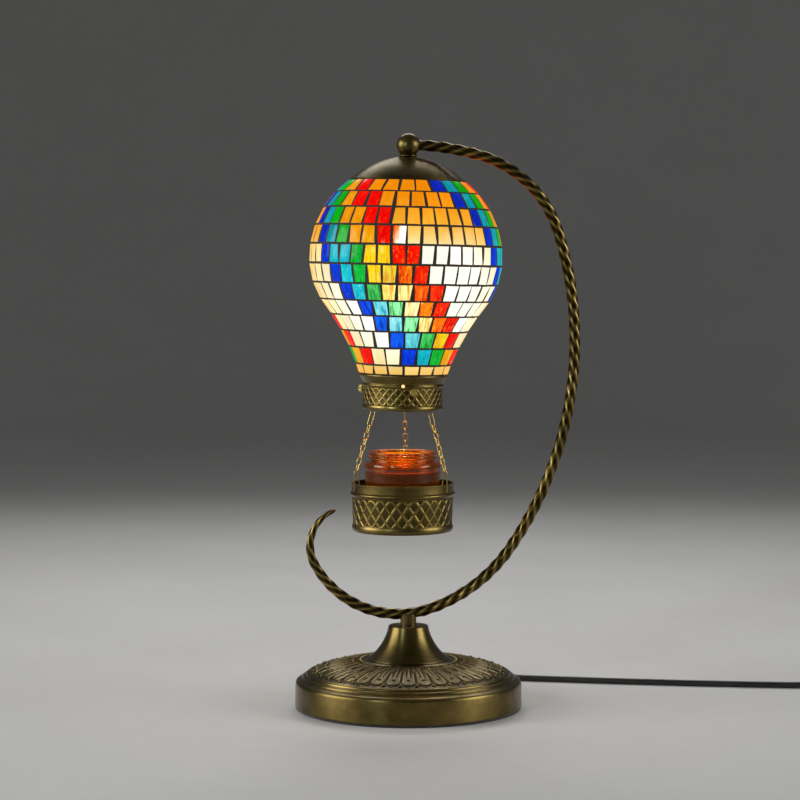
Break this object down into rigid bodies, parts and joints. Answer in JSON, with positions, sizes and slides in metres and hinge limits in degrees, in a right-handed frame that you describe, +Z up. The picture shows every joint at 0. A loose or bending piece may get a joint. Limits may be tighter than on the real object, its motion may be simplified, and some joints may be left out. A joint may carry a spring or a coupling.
{
  "type": "mosaic glass table lamp",
  "caption": "Table lamp shaped like a hot-air balloon: mosaic glass shade on a twisted brass arm, with an embossed basket on chains holding a small amber jar.",
  "frame": {"origin": "middle of the felt under the round foot, at table level", "axes": "+Z up; the arm bulges towards +X; the front of the lamp faces -Y and its cord leaves at the rear, +Y"},
  "size_m": [0.6258, 0.2507, 0.4987],
  "materials": {
    "antique_brass": "brushed antique",
    "dark_brass": "dark antique",
    "chain_brass": "bright antique",
    "cast_iron": "cast",
    "black_felt": "felt",
    "zinc_steel": "zinc plated",
    "black_bakelite": "satin",
    "bright_brass": "bright",
    "nickel": "nickel plated",
    "white_plastic": "matte",
    "bulb_glass": "frosted",
    "led_board": "matte",
    "shade_glass": "opal",
    "grout": "rough",
    "opal_tile": "opal",
    "blue_tile": "streaky",
    "turquoise_tile": "streaky",
    "green_tile": "streaky",
    "amber_tile": "streaky",
    "orange_tile": "streaky",
    "red_tile": "streaky",
    "amber_glass": "clear amber",
    "wax": "soft wax",
    "wire_sheath": "smooth",
    "black_rubber": "matte",
    "cord_pvc": "smooth",
    "tie_strap": "matte",
    "black_plastic": "satin",
    "rocker_plastic": "gloss"
  },
  "bodies": {
    "lamp": {"base_shell": "antique_brass", "base_weight": "cast_iron", "base_felt": "black_felt", "base_cone": "antique_brass", "stem_post": "dark_brass", "stem_washer": "zinc_steel", "stem_nut": "zinc_steel", "arm_tube": "antique_brass", "arm_tail": "antique_brass", "arm_ball": "antique_brass", "top_nipple": "zinc_steel", "neck_ring": "dark_brass", "cap_dome": "antique_brass", "shade_holder": "zinc_steel", "holder_nut": "zinc_steel", "socket_shell": "black_bakelite", "socket_liner": "bright_brass", "socket_contact": "bright_brass", "bulb_screw_cap": "nickel", "bulb_neck": "white_plastic", "bulb_globe": "bulb_glass", "bulb_led_board": "led_board", "shade_glass": "shade_glass", "grout": "grout", "tiles_white": "opal_tile", "tiles_blue": "blue_tile", "tiles_turquoise": "turquoise_tile", "tiles_green": "green_tile", "tiles_amber": "amber_tile", "tiles_orange": "orange_tile", "tiles_red": "red_tile", "collar": "antique_brass", "inner_wire": "wire_sheath", "cord_grommet": "black_rubber", "cord_lead": "cord_pvc", "switch_lower": "black_plastic", "switch_upper": "black_plastic", "switch_screws": "zinc_steel", "cord_link": "cord_pvc", "cord_coil": "cord_pvc", "cord_tie": "tie_strap", "cord_end": "cord_pvc", "plug_body": "black_plastic", "plug_pins": "zinc_steel"},
    "chain_left": {"chain_left": "chain_brass"},
    "chain_right": {"chain_right": "chain_brass"},
    "chain_back": {"chain_back": "chain_brass"},
    "basket": {"basket_wall": "antique_brass", "basket_floor": "dark_brass"},
    "jar": {"jar_glass": "amber_glass", "jar_wax": "wax"},
    "rocker": {"switch_rocker": "rocker_plastic"},
    "screw_front": {"thumb_screw_front": "dark_brass"},
    "screw_left": {"thumb_screw_left": "dark_brass"},
    "screw_back": {"thumb_screw_back": "dark_brass"}
  },
  "joints": [
    {"name": "chain_left_swing", "type": "hinge", "parent": "lamp", "child": "chain_left", "pos_m": [-0.02948, -0.01188, 0.2626], "axis": [0, 1, 0], "range_deg": [-10, 10]},
    {"name": "chain_right_swing", "type": "hinge", "parent": "lamp", "child": "chain_right", "pos_m": [0.01734, -0.01515, 0.2626], "axis": [0, 1, 0], "range_deg": [-10, 10]},
    {"name": "chain_back_swing", "type": "hinge", "parent": "lamp", "child": "chain_back", "pos_m": [-0.00323, 0.02703, 0.2626], "axis": [0, 1, 0], "range_deg": [-10, 10]},
    {"name": "basket_sway", "type": "hinge", "parent": "chain_left", "child": "basket", "pos_m": [-0.04449, -0.0192, 0.19], "axis": [0, 1, 0], "range_deg": [-6.5, 6.5]},
    {"name": "jar_lift", "type": "slide", "parent": "basket", "child": "jar", "axis": [0, 0, 1], "range_m": [0, 0.008]},
    {"name": "switch_rocker_tilt", "type": "hinge", "parent": "lamp", "child": "rocker", "pos_m": [0.416, 0.086, 0.014], "axis": [0, 1, 0], "range_deg": [-14, 0]},
    {"name": "thumb_screw_front_turn", "type": "hinge", "parent": "lamp", "child": "screw_front", "pos_m": [0.00391, -0.03493, 0.27686], "axis": [0.2419, -0.9703, -0.0055], "range_deg": [0, 720]},
    {"name": "thumb_screw_left_turn", "type": "hinge", "parent": "lamp", "child": "screw_left", "pos_m": [-0.03939, 0.00992, 0.27784], "axis": [-0.961, 0.2756, 0.0218], "range_deg": [0, 720]},
    {"name": "thumb_screw_back_turn", "type": "hinge", "parent": "lamp", "child": "screw_back", "pos_m": [0.02109, 0.02501, 0.27647], "axis": [0.7192, 0.6947, -0.0163], "range_deg": [0, 720]}
  ],
  "couplings": [
    {"joint": "chain_right_swing", "follows": "chain_left_swing", "ratio": 1},
    {"joint": "chain_back_swing", "follows": "chain_left_swing", "ratio": 1},
    {"joint": "basket_sway", "follows": "chain_left_swing", "ratio": -0.6187}
  ]
}
